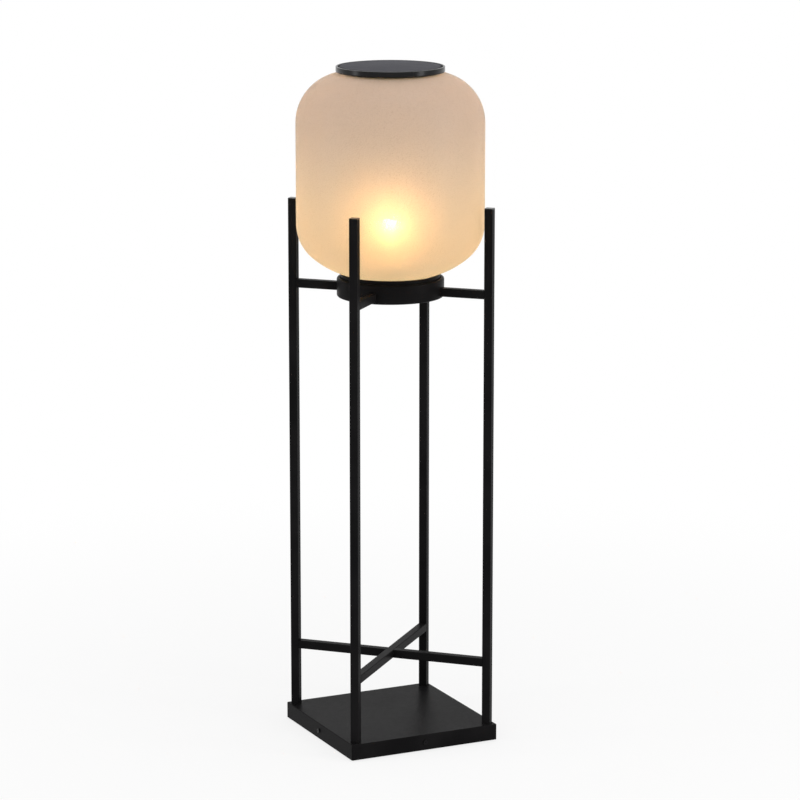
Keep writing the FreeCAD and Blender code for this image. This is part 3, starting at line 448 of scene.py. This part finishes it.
frostedGlass = {
    # painted warm light: the glass is coloured more orange towards the bottom, where the bulb
    # lights it
    "upper": (0.607, 0.475, 0.424),
    "lower": (0.672, 0.44, 0.31),
    "lowerShare": 0.9,
    "upperEdge": (0.72, 0.93),
    "cloud": (16.0, 4.0),
    "cloudTint": 0.2,
    "cloudSpread": 0.08,
    # painted glow: the glass's emission stands in for the bulb's light in the frosting
    "unlit": (0.0, 0.0, 0.0),
    "glow": (0.298, 0.265, 0.12),
    "glowStrength": 1.0,
    "glowLeast": 0.94,
    "cloudGlow": 0.12,
    "bulbAt": (0.0, 0.0, 0.782),
    "reach": 0.118,
    "fall": 2.4,
    "neckLight": 0.72,
    "neckEdge": (0.7, 0.775),
    "grain": (1600.0, 2.0),
    "grainTilt": (0.62, 0.47, 0.3),
    "fine": 0.24,
    "coarse": 1.0,
    "coarseEdge": (0.365, 0.44),
    "transmission": 0.75,
    "ior": 1.5,
    "specular": 0.15,
    "bump": (0.1, 0.0002),
}


def makeFrostedGlass(name, s):
    look = newLook(name)
    height = look.axes()[2]
    cloud = look.noise(*s["cloud"])
    grain = look.noise(*s["grain"], look.tilted(s["grainTilt"]))
    etch = look.step(grain, *s["coarseEdge"])  # 1 where the frosting is deep
    clear = look.node("ShaderNodeAttribute", {"attribute_name": "innerSkin"}, None, "Fac")
    # painted glow: the bulb's light in the frosting is painted on the glass as emission,
    # brightest near the bulb
    away = look.vector("DISTANCE", look.spot, s["bulbAt"])
    dim = s["neckLight"]  # painted shade: the bulb's body keeps light off the neck
    shaded = dim + (1 - dim) * look.step(height, *s["neckEdge"])
    lit = (s["reach"] / away) ** s["fall"] * shaded
    # painted warm light, more orange towards the bottom, with a random cloud
    low = 1 - look.step(height, *s["upperEdge"])
    warmBelowAndCloud = low * s["lowerShare"] + cloud.sway(s["cloudTint"])
    glow = lit * (s["glowLeast"] + cloud * s["cloudGlow"])
    rough = s["fine"] + (s["coarse"] - s["fine"]) * etch
    return look.surface({
        "Base Color": look.mix(warmBelowAndCloud, s["upper"], s["lower"]),
        "Roughness": rough + cloud.sway(s["cloudSpread"]),
        "Transmission Weight": s["transmission"],
        "IOR": s["ior"],
        "Alpha": 1 - clear,  # only the outer skin is frosted
        "Specular IOR Level": s["specular"],
        # painted glow of the bulb's light, on glass that is no lamp
        "Emission Color": look.mix(glow, s["unlit"], s["glow"]),
        "Emission Strength": s["glowStrength"],
        "Normal": look.bump(grain, *s["bump"]),
    })


opalGlobe = {
    "shell": (0.9, 0.86, 0.76),
    "milk": (1.0, 0.98, 0.92),
    "milkShare": 0.2,
    "cloud": (90.0, 2.0),
    "glow": (1.0, 0.66, 0.37),
    "foot": (1.0, 0.58, 0.07),
    "glowEdge": (0.762, 0.788),
    "glowStrength": 1.0,
    "roughness": 0.4,
    "cloudSpread": 0.12,
    "alpha": 0.25,
}


def makeOpalGlobe(name, s):
    look = newLook(name)
    cloud = look.noise(*s["cloud"])
    upper = look.step(look.axes()[2], *s["glowEdge"])
    return look.surface({
        "Base Color": look.mix(cloud * s["milkShare"], s["shell"], s["milk"]),
        "Roughness": s["roughness"] + cloud * s["cloudSpread"],
        "Emission Color": look.mix(upper, s["foot"], s["glow"]),
        "Emission Strength": s["glowStrength"],
        "Alpha": s["alpha"],
    })


ledPhosphor = {
    "dark": (0.85, 0.66, 0.18),
    "light": (0.98, 0.84, 0.36),
    "grain": (2400.0, 2.0),
    "glowStrength": 6.0,
    "roughness": 0.35,
    "grainSpread": 0.2,
}


def makeLedPhosphor(name, s):
    look = newLook(name)
    grain = look.noise(*s["grain"])
    phosphor = look.mix(grain, s["dark"], s["light"])
    return look.surface({
        "Base Color": phosphor,
        "Roughness": s["roughness"] + grain * s["grainSpread"],
        "Emission Color": phosphor,
        "Emission Strength": s["glowStrength"],
    })


columnLight = {
    "dark": (0.9, 0.82, 0.6),
    "light": (0.96, 0.9, 0.74),
    "grain": (2400.0, 2.0),
    "glow": (1.0, 0.61, 0.225),
    "foot": (0.1, 0.061, 0.022),
    "glowEdge": (0.776, 0.7935),
    "glowStrength": 122.0,
    "roughness": 0.3,
    "grainSpread": 0.2,
}


def makeColumnLight(name, s):
    look = newLook(name)
    grain = look.noise(*s["grain"])
    upper = look.step(look.axes()[2], *s["glowEdge"])
    return look.surface({
        "Base Color": look.mix(grain, s["dark"], s["light"]),
        "Roughness": s["roughness"] + grain * s["grainSpread"],
        "Emission Color": look.mix(upper, s["foot"], s["glow"]),
        "Emission Strength": s["glowStrength"],
    })


finishes = {
    "black_powder_coat": makePowderCoat("blackPowderCoat", powderCoat),
    "black_cast_aluminium": makePowderCoat("blackCastPaint", castPaint),
    "ballast_iron": makeBareMetal("ballastIron", ballastIron),
    "blackened_steel": makeBareMetal("blackOxide", blackOxide),
    "zinc_steel": makeBareMetal("zincPlate", zincPlate),
    "spring_steel": makeBareMetal("springStrip", springStrip),
    "nickel_cap": makeBareMetal("nickelCap", nickelCap),
    "black_rubber": makeMoulding("blackRubber", blackRubber),
    "button_rubber": makeMoulding("buttonRubber", buttonRubber),
    "black_plastic": makeMoulding("blackMoulding", blackMoulding),
    "white_plastic": makeMoulding("whiteMoulding", whiteMoulding),
    "terminal_plastic": makeMoulding("terminalMoulding", terminalMoulding),
    "chip_plastic": makeMoulding("chipMoulding", chipMoulding),
    "lead_insulation": makeMoulding("wireInsulation", wireInsulation),
    "battery_wrap": makeBatteryWrap("batteryWrap", batteryWrap),
    "white_circuit_board": makeCircuitBoard("whiteBoard", whiteBoard),
    "green_circuit_board": makeCircuitBoard("greenBoard", greenBoard),
    "solar_silicon": makeSiliconCell("siliconCell", siliconCell),
    "panel_laminate": makePanelLaminate("panelLaminate", panelLaminate),
    "frosted_glass": makeFrostedGlass("frostedGlass", frostedGlass),
    "bulb_diffuser": makeOpalGlobe("opalGlobe", opalGlobe),
    "led_phosphor": makeLedPhosphor("ledPhosphor", ledPhosphor),
}
for nodeName, cadNode in cadNodes.items():
    cadNode.data.materials.clear()
    cadNode.data.materials.append(finishes[nodeSlots[nodeName]])
print("finishes made:", len(finishes))

touching = 1e-6  # points closer than this are one
sharpAngle = math.radians(35)


def keepPiece(name, bm, body, finish):  # the mesh becomes a piece that rides on a body
    mesh = bpy.data.meshes.new(name)
    bm.to_mesh(mesh)
    bm.free()
    mesh.shade_smooth()
    mesh.set_sharp_from_angle(angle=sharpAngle)
    mesh.materials.append(finish)
    piece = bpy.data.objects.new(name, mesh)
    scene.collection.objects.link(piece)
    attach(piece, body)
    print(name, len(mesh.polygons), "faces")
    return piece


def takePlace(name, bm, body, node):  # a piece in the place of a CAD node
    slot = nodeSlots[node]
    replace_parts(keepPiece(name, bm, body, finishes[slot]), node)


def goTo(bm, vert, radius, height):  # straight run of a turned profile
    made = bmesh.ops.extrude_vert_indiv(bm, verts=[vert])["verts"][0]
    made.co = (radius, 0.0, height)
    return made


def goRound(bm, vert, middle, sweep, steps):  # arc of a turned profile about its middle
    radius, height = middle
    around = {"cent": (radius, 0.0, height), "axis": (0.0, -1.0, 0.0), "angle": sweep}
    made = bmesh.ops.spin(bm, geom=[vert], steps=steps, **around)["geom_last"]
    return next(item for item in made if isinstance(item, bmesh.types.BMVert))


def turn(bm, steps):  # a profile all the way round the lamp's axis
    geom = bm.verts[:] + bm.edges[:]
    around = {"cent": (0, 0, 0), "axis": (0, 0, 1), "angle": math.tau, "steps": steps}
    bmesh.ops.spin(bm, geom=geom, use_merge=True, **around)
    bmesh.ops.remove_doubles(bm, verts=bm.verts[:], dist=touching)
    bmesh.ops.recalc_face_normals(bm, faces=bm.faces[:])


def turnedSection(node, s):  # a closed section of (radius, height on the node, rounding), turned
    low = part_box(node)[0].z
    bevel = {"offset_type": "OFFSET", "segments": s["roundSteps"], "profile": 0.5}
    bm = bmesh.new()
    verts = [bm.verts.new((radius, 0.0, low + height)) for radius, height, _ in s["section"]]
    bm.faces.new(verts)
    for vert, (_, _, rounding) in zip(verts, s["section"]):
        if rounding:
            corner = {"geom": [vert], "offset": rounding}
            bmesh.ops.bevel(bm, affect="VERTICES", material=-1, **corner, **bevel)
    bmesh.ops.delete(bm, geom=bm.faces[:], context="FACES_ONLY")
    onAxis = [edge for edge in bm.edges if all(vert.co.x < touching for vert in edge.verts)]
    bmesh.ops.delete(bm, geom=onAxis, context="EDGES_FACES")
    turn(bm, s["steps"])
    return bm


shade = {
    "radius": 0.1399,
    "wall": 0.003,
    "neckRadius": 0.066,
    "neckLength": 0.0047,
    "bellyRound": 0.1324,
    "bellySteps": 14,
    "lowerRound": 0.065,
    "lowerSweep": math.radians(50),
    "lowerSteps": 18,
    "wallHeight": 0.1495,
    "wallRows": 5,
    "upperRound": 0.0735,
    "upperSteps": 26,
    "mouthRadius": 0.063,
    "steps": 160,
}


def makeShade(s):
    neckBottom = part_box("glass_shade")[0].z
    neckTop = neckBottom + s["neckLength"]
    lowerMiddle = s["radius"] - s["lowerRound"]
    bellyMiddle = lowerMiddle - (s["bellyRound"] - s["lowerRound"]) * math.cos(s["lowerSweep"])
    bellyRun = s["neckRadius"] - bellyMiddle
    bellyLevel = neckTop + math.sqrt(s["bellyRound"] ** 2 - bellyRun ** 2)
    bellySweep = math.acos(bellyRun / s["bellyRound"]) - s["lowerSweep"]
    wallBottom = bellyLevel - (s["bellyRound"] - s["lowerRound"]) * math.sin(s["lowerSweep"])
    wallTop = wallBottom + s["wallHeight"]
    upperMiddle = s["radius"] - s["upperRound"]
    bm = bmesh.new()
    innerSkin = bm.verts.layers.float.new("innerSkin")
    vert = bm.verts.new((s["neckRadius"], 0.0, neckBottom))
    vert = goTo(bm, vert, s["neckRadius"], neckTop)
    vert = goRound(bm, vert, (bellyMiddle, bellyLevel), bellySweep, s["bellySteps"])
    vert = goRound(bm, vert, (lowerMiddle, wallBottom), s["lowerSweep"], s["lowerSteps"])
    for row in range(1, s["wallRows"] + 1):
        share = row / s["wallRows"]
        vert = goTo(bm, vert, s["radius"], wallBottom + share * (wallTop - wallBottom))
    vert = goRound(bm, vert, (upperMiddle, wallTop), math.pi / 2, s["upperSteps"])
    goTo(bm, vert, s["mouthRadius"], wallTop + s["upperRound"])
    turn(bm, s["steps"])
    count = len(bm.verts)
    bmesh.ops.solidify(bm, geom=bm.faces[:], thickness=s["wall"])
    bm.verts.ensure_lookup_table()
    skins = [bm.verts[:count], bm.verts[count:]]
    for vert in min(skins, key=lambda skin: max(vert.co.x for vert in skin)):
        vert[innerSkin] = 1.0  # the glass is clear here
    return bm


takePlace("glassShade", makeShade(shade), "lantern", "glass_shade")

column = {
    "radius": 0.007,
    "top": 0.7945,
    "sides": 8,
    "frame": 0.0009,
    "recess": 0.0003,
    "rounding": 0.0012,
    "roundSteps": 4,
    "upright": 0.01,
}


def makeColumn(s):  # faceted light column on the bulb's board
    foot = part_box("led_board")[1].z
    tall = s["top"] - foot
    bm = bmesh.new()
    size = {"radius1": s["radius"], "radius2": s["radius"], "depth": tall}
    bmesh.ops.create_cone(bm, cap_ends=True, segments=s["sides"], **size)
    bmesh.ops.translate(bm, verts=bm.verts[:], vec=(0, 0, foot + tall / 2))
    bm.normal_update()
    rimLevel = s["top"] - touching
    rim = [edge for edge in bm.edges if all(vert.co.z > rimLevel for vert in edge.verts)]
    bevel = {"offset_type": "OFFSET", "segments": s["roundSteps"], "profile": 0.5}
    bmesh.ops.bevel(bm, geom=rim, offset=s["rounding"], affect="EDGES", material=-1, **bevel)
    bm.normal_update()
    sides = [face for face in bm.faces if abs(face.normal.z) < s["upright"]]
    bmesh.ops.inset_individual(bm, faces=sides, thickness=s["frame"], depth=-s["recess"])
    bmesh.ops.recalc_face_normals(bm, faces=bm.faces[:])
    return bm


columnFinish = makeColumnLight("columnLight", columnLight)
keepPiece("lightColumn", makeColumn(column), "lantern", columnFinish)

ring = {"steps": 144, "roundSteps": 5, "section": [
    (0.058, 0.0, 0.0006),
    (0.08, 0.0, 0.003),
    (0.08, 0.029, 0.0035),
    (0.0752, 0.029, 0.0006),
    (0.0752, 0.027, 0.0),
    (0.078, 0.027, 0.0),
    (0.078, 0.002, 0.0),
    (0.058, 0.002, 0.0006),
]}
takePlace("holderRing", turnedSection("holder_ring", ring), "stand", "holder_ring")

lid = {"steps": 144, "roundSteps": 5, "section": [
    (0.0, 0.0, 0.0),
    (0.0805, 0.0, 0.0015),
    (0.0805, 0.0085, 0.0008),
    (0.0775, 0.0085, 0.0005),
    (0.0775, 0.004, 0.0),
    (0.0, 0.004, 0.0),
]}
takePlace("lidHousing", turnedSection("lid_housing", lid), "lantern", "lid_housing")

panelFace = {"steps": 144, "roundSteps": 5, "section": [
    (0.0, 0.0, 0.0),
    (0.0772, 0.0, 0.0),
    (0.0772, 0.0025, 0.0004),
    (0.0, 0.0025, 0.0),
]}
takePlace("panelFace", turnedSection("panel_cover", panelFace), "lantern", "panel_cover")
print("pieces modelled")

floorSetup = {
    "half": 40.0,
    "pale": (0.86, 0.86, 0.86),
    "paler": (0.9, 0.9, 0.9),
    "palerShare": 0.3,
    "speckle": (60.0, 3.0),
    "white": 0.8,
    "whiteEdge": (0.35, 1.6),
}


def makeFloor(s):
    look = newLook("studioFloor")
    x, y, _ = look.axes()
    away = (x * x + y * y) ** 0.5
    share = s["white"] + (1 - s["white"]) * look.step(away, *s["whiteEdge"])
    speckle = look.noise(*s["speckle"])
    paint = look.mix(speckle * s["palerShare"], s["pale"], s["paler"])
    matt = look.node("ShaderNodeBsdfDiffuse", None, {"Color": paint})
    white = look.node("ShaderNodeEmission", None, {"Color": (1, 1, 1, 1), "Strength": 1.0})
    both = look.node("ShaderNodeMixShader", None, {0: look.shown() * share, 1: matt, 2: white})
    look.node("ShaderNodeOutputMaterial", None, {"Surface": both})
    bm = bmesh.new()
    bmesh.ops.create_grid(bm, x_segments=1, y_segments=1, size=s["half"])
    mesh = bpy.data.meshes.new("studioFloor")
    bm.to_mesh(mesh)
    bm.free()
    mesh.materials.append(look.owner)
    floor = bpy.data.objects.new("studioFloor", mesh)
    scene.collection.objects.link(floor)


makeFloor(floorSetup)

worldSetup = {"ambient": 0.55}


def makeWorld(s):
    scene.world = bpy.data.worlds.new("studioWorld")
    look = Look(scene.world)
    level = s["ambient"] + (1 - s["ambient"]) * look.shown()
    sky = look.node("ShaderNodeBackground", None, {"Color": (1, 1, 1, 1), "Strength": level})
    look.node("ShaderNodeOutputWorld", None, {"Surface": sky})


makeWorld(worldSetup)

lampAim = Vector((0, 0, 0.6))
lamps = {
    "leftSoftbox": {"at": (-2.9, 0.7, 1.3), "wide": 0.7, "tall": 2.4, "watts": 20.0},
    "rightSoftbox": {"at": (2.0, -2.2, 1.3), "wide": 0.7, "tall": 2.4, "watts": 28.0},
    "topSoftbox": {"at": (0.0, -0.6, 3.4), "wide": 1.8, "tall": 1.8, "watts": 34.0},
}
for lampName, s in lamps.items():
    light = bpy.data.lights.new(lampName, "AREA")
    light.shape = "RECTANGLE"
    light.size = s["wide"]
    light.size_y = s["tall"]
    light.energy = s["watts"]
    lamp = bpy.data.objects.new(lampName, light)
    lamp.location = s["at"]
    lamp.rotation_euler = (lampAim - lamp.location).to_track_quat("-Z", "Y").to_euler()
    scene.collection.objects.link(lamp)

view = {
    "azimuth": math.radians(-25.36),
    "elevation": math.radians(12.2),
    "distance": 5.04,
    "middle": (0.0, 0.0, 0.5088),
    "aside": 0.0142,
    "above": 0.0064,
    "lens": 151.25,
    "sensor": 36.0,
}


def makeCamera(s):
    side, ahead = math.sin(s["azimuth"]), math.cos(s["azimuth"])
    flat, rise = math.cos(s["elevation"]), math.sin(s["elevation"])
    back = Vector((side * flat, -ahead * flat, rise))
    right = Vector((ahead, side, 0.0))
    middle = Vector(s["middle"])
    aim = middle + right * s["aside"] + back.cross(right) * s["above"]
    data = bpy.data.cameras.new("photoCamera")
    data.sensor_width = s["sensor"]
    data.lens = s["lens"]
    camera = bpy.data.objects.new("photoCamera", data)
    camera.location = middle + back * s["distance"]
    camera.rotation_euler = (aim - camera.location).to_track_quat("-Z", "Y").to_euler()
    scene.collection.objects.link(camera)
    scene.camera = camera


makeCamera(view)
print("studio ready")
